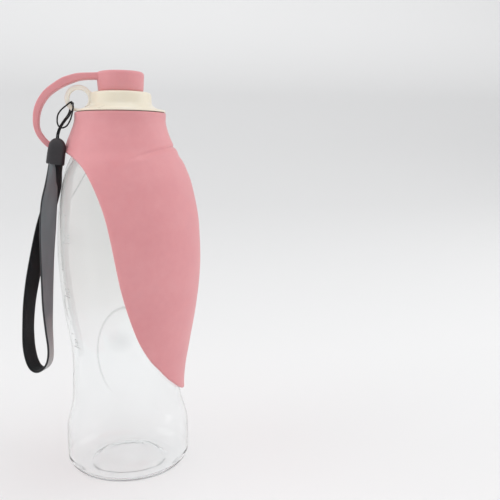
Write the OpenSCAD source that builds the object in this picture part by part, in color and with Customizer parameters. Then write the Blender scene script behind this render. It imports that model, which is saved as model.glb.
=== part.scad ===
// Travel water bottle for dogs: a clear squeeze bottle whose soft leaf-shaped
// bowl folds down over its side. A screw cap clamps the leaf on the neck, a
// tethered stopper closes the spout, and a wrist strap hangs on the cap's ring.
//
// Millimetres. Origin: centre of the foot ring, on the surface it stands on.
// +Z up. +X points at the leaf's tip, and the tether, ring and strap are at -X.

/* [Bottle] */
// Wall of the blown bottle
bottle_wall = 1.0; // [0.7:0.1:1.4]
// Outer radius of the straight band above the foot
band_r = 36.2; // [35.8:0.1:36.4]
// Outer radius of the neck, under its thread
neck_r = 18.0; // [17.8:0.05:18.1]
// Inner radius of the mouth
mouth_r = 15.8; // [14.5:0.1:16.4]
// Height of the mouth's rim
mouth_z = 208; // [207.6:0.1:208]
// Depth of the push-up in the base
pushup = 4.5; // [2:0.5:6]

/* [Thread] */
// Rise for one turn of the cap
pitch = 4.5; // [4.5:0.1:4.8]
// How far the thread stands out of the neck
thread_h = 1.2; // [0.8:0.1:1.3]
// Turns of thread on the neck
neck_turns = 1.5; // [1:0.25:1.5]
// Turns of thread in the cap
cap_turns = 1.5; // [1:0.25:1.5]

/* [Cap] */
// Inner radius of the cap's skirt
skirt_r = 19.6; // [19.5:0.05:19.8]
// Radius of the flange that presses on the leaf
flange_r = 25.2; // [24.5:0.1:25.4]
// Radius of the ring under the stopper
ring_r = 17.3; // [17:0.1:17.6]
// Radius of the spout's bore
spout_r = 7.2; // [7.1:0.1:7.6]

/* [Hang ring] */
// Radius of the hang ring's hole
hang_r = 5.3; // [5:0.1:5.4]
// Thickness of the hang ring, front to back
hang_t = 4.0; // [3:0.25:4]

/* [Stopper and tether] */
// Radius of the stopper at its top
stopper_r = 13.3; // [13.1:0.1:13.6]
// Height of the top of the stopper, and of the whole object
stopper_top = 232; // [231.5:0.1:232.5]
// Width of the tether's band
tether_w = 8; // [6:0.5:8]

/* [Wrist strap] */
// Width of the webbing
web_w = 10; // [8:0.5:10]
// Thickness of the webbing
web_t = 1.2; // [1:0.1:1.4]
// Diameter of the hitch cord
cord_d = 0.8; // [0.6:0.1:0.8]

/* [Hidden] */
$fn = 96;

// Outside of the bottle from the foot ring to the top of the shoulder: [r, z]
bottle_side = [
    [28, 0], [31.2, 0.6], [33.8, 2.3], [35.5, 4.9], [band_r, 8.5],
    [band_r, 21.5], [35.8, 26.5], [34.7, 31], [33, 36.5], [31.8, 42],
    [31.4, 48], [31.3, 54], [31.3, 60], [31.6, 66], [32.4, 74],
    [33.3, 80], [34.3, 86], [35.3, 92.5], [36.2, 99], [36.9, 106],
    [37.5, 113], [38, 121], [38.2, 129], [38, 137], [37.5, 146],
    [36.7, 154], [35.5, 162], [34.3, 169], [32.8, 175], [31, 180],
    [28.6, 184.5], [25.6, 188.2], [22.4, 190.8], [19.6, 192.4]];

// Outside of the leaf from its top edge to its tip: [r, z]
leaf_out = [
    [25.2, 209.2], [25.4, 208.4], [25.3, 204], [26.1, 200], [27.3, 196.3],
    [28.8, 192.6], [30.2, 189.2], [31.6, 186.4], [33.4, 183.7], [35.2, 181],
    [37.5, 175.8], [39.5, 170.3], [41.2, 163.2], [42.8, 155.2], [43.9, 147.2],
    [44.4, 138.2], [44.7, 129.4], [44.6, 122.2], [44.2, 115], [43.5, 108],
    [42.3, 99], [40.6, 88.5], [38.8, 79.4], [37, 69.6], [35.5, 61.6],
    [34.4, 52.6], [33.9, 42]];

// Inside of the leaf from the tip to its top edge: [r, z]
leaf_in = [
    [32.3, 42], [32.6, 52.6], [33.5, 61.6], [34.8, 69.6], [36.5, 79.4],
    [38.3, 88.5], [39.9, 99], [41.1, 108], [41.8, 115], [42.2, 122.2],
    [42.3, 129.4], [42, 138.2], [41.4, 147.2], [40.3, 155.2], [38.7, 163.2],
    [37, 170.3], [35, 175.8], [32.8, 181], [31, 183.7], [29.2, 186.4],
    [27.8, 189.2], [26.2, 192.6], [24.7, 196.3], [22.7, 199.6], [22.7, 200.4],
    [21.8, 201], [21.8, 204], [22.7, 204.6], [22.7, 209.2]];

// Side view of what the leaf keeps above its waist: [x, z]
leaf_edge = [
    [-60, 188.5], [-32.2, 187.6], [-29, 185.6], [-26, 183], [-23.2, 180.2],
    [-20.4, 176.6], [-17.8, 172], [-15.4, 167], [-13.2, 161.5], [-11, 155.5],
    [-9.2, 149], [-7.4, 140], [-5.7, 130.4], [-4.1, 121.4], [-2.2, 111.6],
    [0.4, 101.8], [3.1, 92.8], [6.1, 84], [9.4, 77.2], [13.4, 70],
    [19.4, 62], [60, 62], [60, 230], [-60, 230]];
// End view of the tip, below that: [half width, z]
tip_edge = [[29.6, 62], [27.6, 59], [25, 56], [21.8, 53], [17.8, 50],
            [12.8, 47], [8, 45], [4.4, 44], [1.6, 43.7]];

// Pivot of the tether, where its band bends: [x, z]
tether_pivot = [-41.8, 218.5];
knuckle_r = 2.1;
tether_upper_out = [[-12, 230.6], [-19.6, 230.7], [-26.6, 229.9], [-32.5, 228.1],
                    [-37.4, 224.9], [-40.9, 222.2], [-43.3, 220]];
tether_upper_in = [[-40.3, 217], [-37.6, 219.8], [-34.4, 222], [-30.2, 223.9],
                   [-26.8, 225.6], [-23.6, 226.6], [-19.6, 227.2], [-12, 227.4]];
tether_lower_out = [[-43.9, 216.1], [-45.6, 216.3], [-47.2, 213.2], [-48.3, 209.2],
                    [-48.6, 204.6], [-48.2, 201], [-47.6, 198], [-46.2, 195],
                    [-43.9, 191.8], [-41, 188.9], [-36.6, 187.4], [-29.6, 187.2]];
tether_lower_in = [[-28, 190.9], [-34, 190.8], [-37.4, 191], [-39.6, 191.8],
                   [-41.6, 193.6], [-43.6, 195.6], [-45, 197.6], [-46, 200.8],
                   [-46, 204.8], [-44.9, 209.3], [-43.6, 212.2], [-41.7, 215.5]];

// Centre of the hang ring: [x, z]
hang_c = [-23.5, 216.5];

// Route of the hitch cord from the clamp round the ring and back: [x, y, z]
cord_route = [
    [-35.6, -9.4, 191.4], [-35.6, -9.4, 195], [-34.9, -9.2, 198.2],
    [-33.4, -8.4, 201.4], [-31.6, -5.2, 204.6], [-30.1, -0.6, 207.2],
    [-29.2, 2.3, 209.6], [-28.7, 3.1, 212.2], [-27.9, 2.9, 214.3],
    [-27.5, 0, 214.9], [-27.9, -2.9, 214.6], [-30, -3.7, 212.9],
    [-32.8, -5, 210.4], [-34.7, -6.8, 207.4], [-35.1, -8.8, 203.9],
    [-34.4, -10.2, 201.2], [-32.5, -10.4, 200], [-30, -9.2, 201.2],
    [-28.2, -7.2, 204.4], [-27.2, -5.4, 208], [-26.6, -3.9, 211.8],
    [-26.7, -3, 213.8], [-26.8, 0, 214.3], [-27, 2.9, 213.8],
    [-27.7, 3.1, 211.8], [-28.4, 2.3, 209.2], [-29.4, -0.6, 206.6],
    [-31, -5.2, 203.9], [-32.7, -8.4, 200.9], [-34.1, -9.2, 197.9],
    [-34.7, -9.4, 195], [-34.7, -9.4, 191.4]];

// Route of the webbing from the clamp down and back: [x, y, z, turn]
web_route = [
    [-36.3, -10.8, 184, 14], [-37.1, -11.3, 180.6, 36], [-38, -12.5, 176.4, 56],
    [-39.5, -12.6, 169, 47], [-40.9, -13, 158, 33], [-41.9, -13.4, 145, 35],
    [-42.8, -13.6, 130, 44], [-43.3, -13.8, 115, 49], [-43.6, -13.8, 101, 54],
    [-43.4, -13.6, 88, 63], [-42.9, -13.2, 77, 71], [-43.3, -12.8, 70, 73],
    [-44.8, -12, 65.6, 71], [-47.2, -10.8, 62.8, 67], [-49.8, -9.5, 62, 64],
    [-52.2, -8.2, 63.2, 61], [-54, -7.2, 66.4, 59], [-55.2, -6.6, 71.4, 58],
    [-55.8, -6.4, 78, 58], [-55.6, -6.4, 88, 60], [-54.4, -6.6, 101, 56],
    [-51.9, -7.2, 115, 49], [-48.4, -8, 130, 44], [-44.6, -8.5, 145, 42],
    [-40.9, -8.4, 158, 44], [-38.3, -8.2, 169, 46], [-36.9, -7.8, 176.4, 50],
    [-36.3, -8, 180.6, 36], [-36.2, -8.2, 184, 14]];

// Clamp on the strap: centre and tilt
clamp_c = [-36.1, -9.4, 187.2];
clamp_tilt = 6;

// ---- helpers ----------------------------------------------------------------

// One ridge of a screw thread: root radius, crest radius, first height, turns
// and first angle. It is a swept trapezoid that runs out at both ends.
module thread(root, crest, z0, turns, a0, wr = 1.1, wc = 0.55) {
    n = round(turns * 30);
    dir = crest > root ? 1 : -1;
    pts = [for (i = [0:n])
        let (a = a0 + i * 12, z = z0 + pitch * (a - a0) / 360,
             f = min(1, i / 3 + 0.1, (n - i) / 3 + 0.1),
             rc = root + (crest - root) * f, rb = root - dir * 0.5)
        each [[rb * cos(a), rb * sin(a), z - wr], [rc * cos(a), rc * sin(a), z - wc],
              [rc * cos(a), rc * sin(a), z + wc], [rb * cos(a), rb * sin(a), z + wr]]];
    sides = [for (i = [0:n - 1], k = [0:3])
        let (a = 4 * i + k, b = 4 * i + (k + 1) % 4, c = b + 4, d = a + 4)
        each dir > 0 ? [[a, c, b], [a, d, c]] : [[a, b, c], [a, c, d]]];
    ends = dir > 0 ? [[0, 1, 2, 3], [4 * n + 3, 4 * n + 2, 4 * n + 1, 4 * n]]
                   : [[3, 2, 1, 0], [4 * n, 4 * n + 1, 4 * n + 2, 4 * n + 3]];
    polyhedron(points = pts, faces = concat(sides, ends));
}

function unit(v) = v / norm(v);
// A point of a smooth curve through p at place t, counted in points
function curve(p, t) =
    let (n = len(p) - 1, i = min(floor(t), n - 1), f = t - i,
         a = p[max(i - 1, 0)], b = p[i], c = p[i + 1], d = p[min(i + 2, n)])
    0.5 * (2 * b + (c - a) * f + (2 * a - 5 * b + 4 * c - d) * f * f
           + (3 * b - a - 3 * c + d) * f * f * f);

// A closed tube of rings, each a list of the same number of points
module rings(r) {
    n = len(r);
    m = len(r[0]);
    polyhedron(
        points = [for (s = r) each s],
        faces = concat(
            [[for (k = [m - 1:-1:0]) k]],
            [for (i = [0:n - 2], k = [0:m - 1])
                let (a = i * m + k, b = i * m + (k + 1) % m)
                each [[a, b, b + m], [a, b + m, a + m]]],
            [[for (k = [0:m - 1]) (n - 1) * m + k]]));
}

// A round cord along p with s rings for each stretch
module cord(p, d, s = 2) {
    n = (len(p) - 1) * s;
    at = [for (i = [0:n]) curve(p, i / s)];
    rings([for (i = [0:n])
        let (t = unit(at[min(i + 1, n)] - at[max(i - 1, 0)]),
             u = unit(cross(t, abs(t[1]) < 0.85 ? [0, 1, 0] : [1, 0, 0])), v = cross(t, u))
        [for (k = [0:7]) at[i] + d / 2 * (cos(45 * k) * u + sin(45 * k) * v)]]);
}

// A flat band along p, whose fourth number turns its width about Z
module band(p, w, t, s = 2) {
    n = (len(p) - 1) * s;
    at = [for (i = [0:n]) curve(p, i / s)];
    function xyz(q) = [q[0], q[1], q[2]];
    rings([for (i = [0:n])
        let (dir = unit(xyz(at[min(i + 1, n)] - at[max(i - 1, 0)])),
             a = at[i][3], side = [cos(a), sin(a), 0],
             u = unit(side - dir * (side * dir)), v = cross(dir, u), c = xyz(at[i]))
        [c - u * w / 2 - v * t / 2, c + u * w / 2 - v * t / 2,
         c + u * w / 2 + v * t / 2, c - u * w / 2 + v * t / 2]]);
}

// A side-view outline, given a width front to back
module slab(points, w) {
    translate([0, w / 2, 0]) rotate([90, 0, 0]) linear_extrude(w) polygon(points);
}

// ---- the pieces -------------------------------------------------------------

// Blown bottle with its push-up base, waist, shoulder and threaded neck
module bottle() {
    side_n = len(bottle_side);
    outer = concat([[0, pushup], [14, pushup - 0.5], [18.8, pushup - 2], [21.6, 0.5], [22.6, 0]],
                   bottle_side,
                   [[neck_r, 193.4], [neck_r, 194.2], [21.2, 194.8], [21.2, 196.2],
                    [neck_r, 196.8], [neck_r, mouth_z - 0.4], [neck_r - 0.4, mouth_z]]);
    inner = concat([[mouth_r + 0.3, mouth_z], [mouth_r, mouth_z - 0.4], [mouth_r, 193.4]],
                   [for (i = [side_n - 1:-1:5]) bottle_side[i] - [bottle_wall * 1.15, 0]],
                   [[band_r - bottle_wall, 9], [34.2, 5.8], [32.7, 3.4], [30.4, 1.8],
                    [27.8, 1.2], [23.2, 1.2], [20, pushup - 1.1], [14.4, pushup + 0.6],
                    [0, pushup + 1.2]]);
    color([0.9, 0.93, 0.94, 0.45]) rotate_extrude() polygon(concat(outer, inner));
}

// The screw ridge moulded on the neck
module neck_thread() {
    color([0.9, 0.93, 0.94, 0.45]) thread(neck_r, neck_r + thread_h, 198.8, neck_turns, 0);
}

// Soft washer between the mouth and the cap's ceiling
module mouth_seal() {
    color([0.93, 0.93, 0.9])
        translate([0, 0, mouth_z + 0.1]) difference() {
            cylinder(r = skirt_r - 0.5, h = 1.9);
            translate([0, 0, -1]) cylinder(r = mouth_r + 0.2, h = 4);
        }
}

// Screw cap in one moulding: skirt, flange, ring and spout
module screw_cap() {
    top = 220.6;
    spout_top = 226;
    color([0.93, 0.89, 0.82]) {
        difference() {
            rotate_extrude() polygon([
                [0, 210.1], [skirt_r, 210.1], [skirt_r, 197.4], [22.3, 197.4],
                [22.3, 200.6], [21.4, 201.1], [21.4, 204.1], [22.3, 204.7],
                [22.3, 209.4], [flange_r - 0.4, 209.4], [flange_r, 209.8],
                [flange_r - 0.3, 210.5], [23.4, 210.9], [21.4, 211.4], [19.4, 212.2],
                [ring_r + 0.7, 213.2], [ring_r + 0.1, 214.4], [ring_r, 215.4], [ring_r, 218.8],
                [ring_r - 0.2, 219.7], [ring_r - 1, 220.3], [ring_r - 2.4, top],
                [11.5, top], [10.6, 218.4], [9.9, 218.4], [9.9, 220.4],
                [9.2, spout_top - 0.3], [8.9, spout_top], [0, spout_top]]);
            translate([0, 0, 205]) cylinder(r = spout_r, h = 30);
        }
    }
}

// The screw ridge moulded inside the cap's skirt
module cap_thread() {
    color([0.93, 0.89, 0.82]) thread(skirt_r, skirt_r - 1.25, 201.05 - pitch / 2, cap_turns, -180);
}

// Ring on the cap's side that the wrist strap hangs on
module hang_ring() {
    color([0.93, 0.89, 0.82]) difference() {
        union() {
            translate([hang_c[0], hang_t / 2, hang_c[1]]) rotate([90, 0, 0])
                cylinder(r = hang_r + 2.5, h = hang_t);
            slab([[-20, 223.2], [-18.2, 221.6], [-16.2, 220.6], [-16.2, 217], [-20, 219]], hang_t);
        }
        translate([hang_c[0], 10, hang_c[1]]) rotate([90, 0, 0]) cylinder(r = hang_r, h = 20);
        // it ends on the cap's own surface
        rotate_extrude() polygon([
            [0, 205], [flange_r + 3, 205], [flange_r + 3, 209.8], [flange_r, 209.8],
            [flange_r - 0.3, 210.5], [23.4, 210.9], [21.4, 211.4], [19.4, 212.2],
            [ring_r + 0.7, 213.2], [ring_r + 0.1, 214.4], [ring_r, 215.4], [ring_r, 218.8],
            [ring_r - 0.2, 219.7], [ring_r - 1, 220.3], [ring_r - 2.4, 220.6], [0, 220.6]]);
    }
}

// Soft leaf-shaped bowl, folded down over the bottle
module leaf_bowl() {
    color([0.87, 0.62, 0.63]) intersection() {
        rotate_extrude() polygon(concat(leaf_out, leaf_in));
        union() {
            slab(leaf_edge, 120);
            translate([10, 0, 0]) rotate([90, 0, 90]) linear_extrude(50)
                polygon(concat(tip_edge, [for (i = [len(tip_edge) - 1:-1:0]) [-tip_edge[i][0], tip_edge[i][1]]]));
        }
    }
}

// Lower half of the stopper's tether, from the leaf's back edge to the bend
module tether_lower() {
    color([0.87, 0.6, 0.62]) difference() {
        slab(concat(tether_lower_out, tether_lower_in), tether_w);
        translate([tether_pivot[0], 10, tether_pivot[1]]) rotate([90, 0, 0])
            cylinder(r = knuckle_r + 0.35, h = 20);
    }
}

// Upper half of the tether, from the bend to the stopper
module tether_upper() {
    color([0.87, 0.6, 0.62]) difference() {
        union() {
            slab(concat(tether_upper_out, tether_upper_in), tether_w);
            translate([tether_pivot[0], tether_w / 2, tether_pivot[1]]) rotate([90, 0, 0])
                cylinder(r = knuckle_r, h = tether_w);
        }
        translate([0, 0, 220]) cylinder(r = stopper_r - 0.4, h = 13);
    }
}

// Soft stopper: it sits over the spout, and its stem goes into the bore
module stopper() {
    color([0.85, 0.58, 0.6]) rotate_extrude() polygon([
        [0, stopper_top], [8, stopper_top - 0.1], [11.4, stopper_top - 0.3],
        [stopper_r - 0.6, stopper_top - 0.9], [stopper_r, stopper_top - 2.2], [12.8, 221.5],
        [12.3, 220.9], [10.2, 220.9], [9.5, 226.7], [spout_r - 0.6, 226.7],
        [spout_r - 0.9, 222.9], [spout_r - 1.3, 222.5], [0, 222.5]]);
}

// Thin cord hitched round the hang ring
module hitch_cord() {
    color([0.1, 0.1, 0.11]) cord(cord_route, cord_d, 2);
}

// Moulded clamp that holds the cord above and the webbing below
module strap_clamp() {
    color([0.22, 0.21, 0.23]) translate(clamp_c) rotate([0, clamp_tilt, 0])
        intersection() {
            translate([0, 3.6, 0]) rotate([90, 0, 0]) linear_extrude(7.2)
                polygon([[-4.9, -7.4], [4.9, -7.4], [4.7, 2.6], [4.4, 4], [3.6, 5.5], [2.3, 6.8], [1, 7.4],
                         [-1, 7.4], [-2.3, 6.8], [-3.6, 5.5], [-4.4, 4], [-4.7, 2.6]]);
            rotate([90, 0, 90]) translate([0, 0, -10]) linear_extrude(20)
                polygon([[-3.6, -7.4], [3.6, -7.4], [3.5, 3], [3, 5], [1.8, 6.8], [1, 7.4],
                         [-1, 7.4], [-1.8, 6.8], [-3, 5], [-3.5, 3]]);
        }
}

// Loop of flat webbing for the wrist
module strap_webbing() {
    color([0.16, 0.16, 0.17]) band(web_route, web_w, web_t, 2);
}

bottle();
neck_thread();
mouth_seal();
screw_cap();
cap_thread();
hang_ring();
leaf_bowl();
tether_lower();
tether_upper();
stopper();
hitch_cord();
strap_clamp();
strap_webbing();
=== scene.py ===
import math

import bpy
import numpy as np
from mathutils import Matrix, Vector


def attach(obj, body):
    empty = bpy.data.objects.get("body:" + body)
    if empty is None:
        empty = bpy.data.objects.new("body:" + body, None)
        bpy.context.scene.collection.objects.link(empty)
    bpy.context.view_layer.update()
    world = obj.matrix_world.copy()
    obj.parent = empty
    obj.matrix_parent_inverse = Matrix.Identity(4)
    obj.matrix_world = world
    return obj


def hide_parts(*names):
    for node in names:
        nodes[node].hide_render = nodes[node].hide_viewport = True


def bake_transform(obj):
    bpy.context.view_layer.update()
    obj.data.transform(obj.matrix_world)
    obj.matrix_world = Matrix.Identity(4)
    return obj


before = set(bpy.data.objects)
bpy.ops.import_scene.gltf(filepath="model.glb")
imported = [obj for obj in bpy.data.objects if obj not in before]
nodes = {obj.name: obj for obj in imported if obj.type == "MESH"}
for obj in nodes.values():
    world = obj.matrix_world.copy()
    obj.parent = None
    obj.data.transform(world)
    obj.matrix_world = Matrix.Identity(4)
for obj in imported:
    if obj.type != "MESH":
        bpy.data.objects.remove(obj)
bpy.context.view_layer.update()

MM = 0.001
scene = bpy.context.scene

# ============================================================================
# Camera: the photograph's viewing angle
# ============================================================================
CAM_POS = (0.0, -0.40570, 0.18587)
YAW, PITCH, ROLL = 0.1840, 0.1400, 0.0024
LENS = 49.01


def camera():
    cy, sy, cp, sp = math.cos(YAW), math.sin(YAW), math.cos(PITCH), math.sin(PITCH)
    fwd = Vector((sy * cp, cy * cp, -sp))
    right = Vector((cy, -sy, 0.0))
    up = right.cross(fwd)
    cr, sr = math.cos(ROLL), math.sin(ROLL)
    r2, u2 = cr * right + sr * up, -sr * right + cr * up
    data = bpy.data.cameras.new("camera")
    data.lens, data.sensor_width = LENS, 36.0
    data.clip_start, data.clip_end = 0.01, 20.0
    data.dof.use_dof = False
    cam = bpy.data.objects.new("camera", data)
    m = Matrix.Identity(4)
    for i in range(3):
        m[i][0], m[i][1], m[i][2] = r2[i], u2[i], -fwd[i]
        m[i][3] = CAM_POS[i]
    cam.matrix_world = m
    scene.collection.objects.link(cam)
    scene.camera = cam


camera()


# ============================================================================
# Node-graph helpers
# ============================================================================
def srgb(h, a=1.0):
    """A hex colour as linear RGBA."""
    c = [int(h[i:i + 2], 16) / 255 for i in (0, 2, 4)]
    c = [x / 12.92 if x <= 0.04045 else ((x + 0.055) / 1.055) ** 2.4 for x in c]
    return (*c, a)


class Mat:
    """A material whose node graph is built by short calls."""

    def lamps_through(self):
        """Light reaches what is behind a thin clear wall, as it does in life, without noisy caustics."""
        path = self.t.nodes.new("ShaderNodeLightPath")
        shader = self.p.outputs[0]
        for kind in ("Is Diffuse Ray", "Is Shadow Ray"):
            clear = self.t.nodes.new("ShaderNodeBsdfTransparent")
            clear.inputs["Color"].default_value = (0.994, 0.996, 0.996, 1)
            mix = self.t.nodes.new("ShaderNodeMixShader")
            self.link(path.outputs[kind], mix.inputs[0])
            self.link(shader, mix.inputs[1])
            self.link(clear.outputs[0], mix.inputs[2])
            shader = mix.outputs[0]
        self.link(shader, self.out.inputs["Surface"])

    def __init__(self, name):
        self.m = bpy.data.materials.new(name)
        self.m.use_nodes = True
        self.t = self.m.node_tree
        self.t.nodes.clear()
        self.out = self.t.nodes.new("ShaderNodeOutputMaterial")
        self.p = self.t.nodes.new("ShaderNodeBsdfPrincipled")
        self.link(self.p.outputs[0], self.out.inputs["Surface"])
        self.co = self.t.nodes.new("ShaderNodeTexCoord")

    def link(self, a, b):
        self.t.links.new(a, b)

    def put(self, socket, v):
        if isinstance(v, bpy.types.NodeSocket):
            self.link(v, socket)
        else:
            socket.default_value = v

    def set(self, **kw):
        for k, v in kw.items():
            self.put(self.p.inputs[k.replace("_", " ")], v)
        return self

    def obj(self):
        return self.co.outputs["Object"]

    def uv(self):
        return self.co.outputs["UV"]

    def map(self, vec, scale=(1, 1, 1), loc=(0, 0, 0), rot=(0, 0, 0)):
        n = self.t.nodes.new("ShaderNodeMapping")
        self.put(n.inputs["Vector"], vec)
        n.inputs["Scale"].default_value = scale
        n.inputs["Location"].default_value = loc
        n.inputs["Rotation"].default_value = rot
        return n.outputs[0]

    def noise(self, vec, scale, detail=2.0, rough=0.5, dist=0.0):
        n = self.t.nodes.new("ShaderNodeTexNoise")
        self.put(n.inputs["Vector"], vec)
        n.inputs["Scale"].default_value = scale
        n.inputs["Detail"].default_value = detail
        n.inputs["Roughness"].default_value = rough
        n.inputs["Distortion"].default_value = dist
        return n.outputs["Fac"]

    def voronoi(self, vec, scale, feature="F1", rand=1.0):
        n = self.t.nodes.new("ShaderNodeTexVoronoi")
        n.feature = feature
        self.put(n.inputs["Vector"], vec)
        n.inputs["Scale"].default_value = scale
        n.inputs["Randomness"].default_value = rand
        return n.outputs["Distance"]

    def math(self, op, a, b=0.0, c=0.0, clamp=False):
        n = self.t.nodes.new("ShaderNodeMath")
        n.operation, n.use_clamp = op, clamp
        for i, v in enumerate((a, b, c)):
            self.put(n.inputs[i], v)
        return n.outputs[0]

    def ramp(self, fac, stops):
        n = self.t.nodes.new("ShaderNodeValToRGB")
        r = n.color_ramp
        while len(r.elements) < len(stops):
            r.elements.new(0.5)
        for e, (pos, col) in zip(r.elements, stops):
            e.position = pos
            e.color = col
        self.put(n.inputs["Fac"], fac)
        return n.outputs["Color"]

    def span(self, v, lo, hi, a=0.0, b=1.0):
        n = self.t.nodes.new("ShaderNodeMapRange")
        n.clamp = True
        for i, x in enumerate((v, lo, hi, a, b)):
            self.put(n.inputs[i], x)
        return n.outputs[0]

    def mix(self, fac, a, b, blend="MIX"):
        n = self.t.nodes.new("ShaderNodeMix")
        n.data_type, n.blend_type = "RGBA", blend
        self.put(n.inputs["Factor"], fac)
        self.put(n.inputs[6], a)
        self.put(n.inputs[7], b)
        return n.outputs[2]

    def split(self, vec):
        n = self.t.nodes.new("ShaderNodeSeparateXYZ")
        self.put(n.inputs[0], vec)
        return n.outputs

    def bump(self, height, dist, strength=1.0, normal=None):
        n = self.t.nodes.new("ShaderNodeBump")
        n.inputs["Distance"].default_value = dist
        n.inputs["Strength"].default_value = strength
        self.put(n.inputs["Height"], height)
        if normal is not None:
            self.put(n.inputs["Normal"], normal)
        return n.outputs[0]


# ============================================================================
# Materials
# ============================================================================
def silicone_pink():
    m = Mat("silicone_pink")
    o = m.obj()
    big = m.noise(o, 28, 3, 0.55)
    mid = m.noise(o, 240, 3, 0.6)
    fine = m.noise(o, 3200, 2, 0.6)
    tone = m.math("ADD", m.math("MULTIPLY", big, 0.7), m.math("MULTIPLY", mid, 0.3))
    base = m.ramp(tone, [(0.30, srgb("da9095")), (0.52, srgb("de979b")), (0.74, srgb("e29ea2"))])
    # a little lint and handling dust that silicone always picks up
    specks = m.span(m.voronoi(o, 620), 0.0, 0.055, 1.0, 0.0)
    base = m.mix(m.math("MULTIPLY", specks, 0.14), base, srgb("efc4c3"))
    rough = m.span(m.math("ADD", mid, m.math("MULTIPLY", fine, 0.4)), 0.4, 1.0, 0.46, 0.58)
    n = m.bump(fine, 0.00002, 0.55)
    n = m.bump(big, 0.0004, 0.10, n)
    m.set(Base_Color=base, Roughness=rough, Normal=n)
    m.p.inputs["Subsurface Weight"].default_value = 0.12
    m.p.inputs["Subsurface Radius"].default_value = (0.0030, 0.0012, 0.0010)
    m.p.inputs["Subsurface Scale"].default_value = 1.0
    m.p.inputs["Specular IOR Level"].default_value = 0.42
    m.p.inputs["Sheen Weight"].default_value = 0.22
    m.p.inputs["Sheen Roughness"].default_value = 0.45
    m.p.inputs["Sheen Tint"].default_value = srgb("f6d4d4")
    return m.m


def plastic_cream(name="plastic_cream", lift=0.0, soft=0.08):
    """Satin moulding. Thin plates take more subsurface light (soft); lift mixes in a paler tone, which is painted
    light: a brighter-lit copy of the same plastic.
    """
    m = Mat(name)
    o = m.obj()
    big = m.noise(o, 60, 3, 0.5)
    fine = m.noise(o, 2600, 2, 0.6)
    base = m.ramp(big, [(0.3, srgb("eae1cd")), (0.55, srgb("ede5d2")), (0.75, srgb("f1eadb"))])
    # painted light: lift mixes the base towards a paler cream, as if the plate were lit brighter
    base = m.mix(lift, base, srgb("faf6ee"))
    rough = m.span(m.math("ADD", big, m.math("MULTIPLY", fine, 0.3)), 0.4, 0.9, 0.26, 0.38)
    m.set(Base_Color=base, Roughness=rough, Normal=m.bump(fine, 0.000006, 0.15))
    m.p.inputs["Subsurface Weight"].default_value = soft
    m.p.inputs["Subsurface Radius"].default_value = (0.0022, 0.0018, 0.0014)
    m.p.inputs["Subsurface Scale"].default_value = 1.0
    m.p.inputs["Specular IOR Level"].default_value = 0.5
    return m.m


def plastic_clear(name="plastic_clear"):
    m = Mat(name)
    o = m.obj()
    flow = m.noise(m.map(o, (1.0, 1.0, 0.35)), 46, 2, 0.45, 0.3)
    fine = m.noise(o, 900, 2, 0.5)
    rough = m.span(m.math("ADD", flow, m.math("MULTIPLY", fine, 0.35)), 0.4, 1.0, 0.015, 0.07)
    tint = m.ramp(flow, [(0.35, srgb("fcfdfd")), (0.65, srgb("feffff"))])
    # painted shade: grey lines on the grip's near side, for the oval's mould line and a soft dimple inside it, where
    # refraction darkens the clear wall
    x, y, z = m.split(o)
    dz = m.math("SUBTRACT", z, 0.076)
    q = m.math("SQRT", m.math("ADD", m.math("POWER", m.math("DIVIDE", x, 0.0160), 2.0), m.math("POWER", m.math("DIVIDE", dz, 0.0270), 2.0)))
    line = m.span(m.math("ABSOLUTE", m.math("SUBTRACT", q, 1.0)), 0.0, 0.045, 1.0, 0.0)
    line = m.math("MULTIPLY", line, m.span(z, 0.052, 0.064))
    line = m.math("MULTIPLY", line, m.math("MAXIMUM", m.span(x, 0.002, 0.008, 1.0, 0.0), m.span(z, 0.078, 0.088)))
    dimple_shade = m.math("SQRT", m.math("ADD", m.math("POWER", m.math("ADD", x, 0.0034), 2.0), m.math("POWER", m.math("SUBTRACT", z, 0.0832), 2.0)))
    dimple_shade = m.span(dimple_shade, 0.0, 0.0085, 1.0, 0.0)
    near = m.span(y, -0.014, -0.020, 0.0, 1.0)
    # painted shade: a grey line at the panel's edge over the shoulder
    edge = m.math("SUBTRACT", m.math("MULTIPLY", m.math("ADD", x, 0.0206), 0.855), m.math("MULTIPLY", m.math("SUBTRACT", z, 0.1739), 0.518))
    edge = m.span(m.math("ABSOLUTE", edge), 0.0001, 0.0006, 1.0, 0.0)
    edge = m.math("MULTIPLY", edge, m.math("MULTIPLY", m.span(z, 0.1610, 0.1650), m.span(z, 0.1770, 0.1750)))
    painted_shade_mark = m.math("MULTIPLY", near, m.math("MAXIMUM", m.math("MAXIMUM", m.math("MULTIPLY", line, 0.75), edge), m.math("MULTIPLY", dimple_shade, 0.42)))
    # the painted shade is mixed into the clear tint here
    tint = m.mix(painted_shade_mark, tint, (0.72, 0.725, 0.725, 1))
    # painted shade: the upper half is tinted a touch greyer, as it looks from the front; it isn't a measured thickness
    tint = m.mix(m.span(z, 0.082, 0.105), tint, (0.965, 0.962, 0.952, 1), "MULTIPLY")
    m.set(Base_Color=tint, Roughness=rough, Normal=m.bump(flow, 0.0005, 0.16))
    m.p.inputs["Transmission Weight"].default_value = 1.0
    m.p.inputs["IOR"].default_value = 1.33
    m.lamps_through()
    return m.m


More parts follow.
